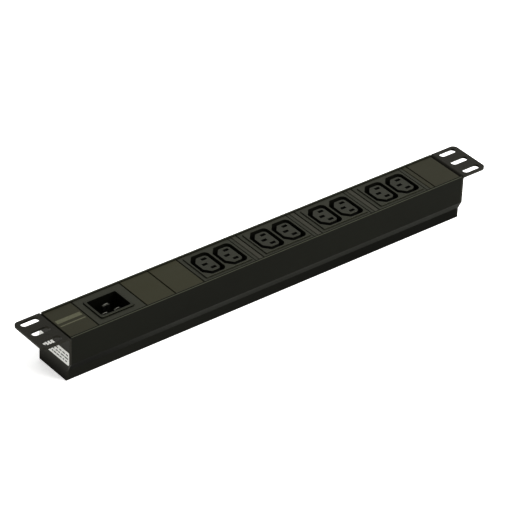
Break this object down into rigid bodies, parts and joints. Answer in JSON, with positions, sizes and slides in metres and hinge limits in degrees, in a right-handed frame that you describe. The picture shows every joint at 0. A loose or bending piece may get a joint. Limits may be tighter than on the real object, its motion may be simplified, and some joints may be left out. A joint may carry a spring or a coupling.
{
  "type": "rack power strip",
  "caption": "Rack power strip: dark extruded channel with snap-in outlet modules, blank covers, a recessed mains inlet and a slotted L-bracket at each end.",
  "frame": {"origin": "centre of the bounding box's bottom face, on the channel's back", "axes": "+X along the strip from the inlet end to the far end, +Y across it away from the stepped wall, +Z out of the outlet face"},
  "size_m": [0.4826, 0.044, 0.046],
  "materials": {
    "channel_coat": "fine satin black powder coat over extruded aluminium",
    "bracket_coat": "satin black powder coat over folded sheet steel",
    "screw_steel": "black zinc plated",
    "label_film": "matt white film",
    "cover_plastic": "fine matt moulded, dark olive grey",
    "module_plastic": "fine matt moulded, dark grey",
    "core_plastic": "fine matt moulded, slightly lighter dark grey",
    "inlet_plastic": "fine matt moulded, dark grey",
    "inner_plastic": "moulded, black",
    "pin_metal": "nickel plated brass",
    "contact_brass": "stamped, bare",
    "wire_brown": "PVC insulation, brown",
    "wire_blue": "PVC insulation, blue",
    "wire_green": "PVC insulation, green and yellow",
    "stud_steel": "zinc plated"
  },
  "bodies": {
    "root": {"channel_extrusion": "channel_coat", "rack_bracket_left": "bracket_coat", "rack_bracket_right": "bracket_coat", "bracket_screws": "screw_steel", "rating_label": "label_film", "blank_cover_end_left": "cover_plastic", "blank_cover_mid_1": "cover_plastic", "blank_cover_mid_2": "cover_plastic", "blank_cover_end_right": "cover_plastic", "inlet_carrier": "module_plastic", "inlet_body": "inlet_plastic", "inlet_line_pin": "pin_metal", "inlet_neutral_pin": "pin_metal", "inlet_earth_pin": "pin_metal", "outlet_shell_1": "module_plastic", "outlet_core_1": "core_plastic", "outlet_cover_1": "inner_plastic", "spacer_strip_1": "cover_plastic", "line_contacts_1": "contact_brass", "neutral_contacts_1": "contact_brass", "earth_contacts_1": "contact_brass", "outlet_shell_2": "module_plastic", "outlet_core_2": "core_plastic", "outlet_cover_2": "inner_plastic", "spacer_strip_2": "cover_plastic", "line_contacts_2": "contact_brass", "neutral_contacts_2": "contact_brass", "earth_contacts_2": "contact_brass", "outlet_shell_3": "module_plastic", "outlet_core_3": "core_plastic", "outlet_cover_3": "inner_plastic", "spacer_strip_3": "cover_plastic", "line_contacts_3": "contact_brass", "neutral_contacts_3": "contact_brass", "earth_contacts_3": "contact_brass", "outlet_shell_4": "module_plastic", "outlet_core_4": "core_plastic", "outlet_cover_4": "inner_plastic", "spacer_strip_4": "cover_plastic", "line_contacts_4": "contact_brass", "neutral_contacts_4": "contact_brass", "earth_contacts_4": "contact_brass", "line_harness": "wire_brown", "neutral_harness": "wire_blue", "earth_harness": "wire_green", "earth_stud": "stud_steel", "earth_nut": "stud_steel"}
  },
  "joints": []
}
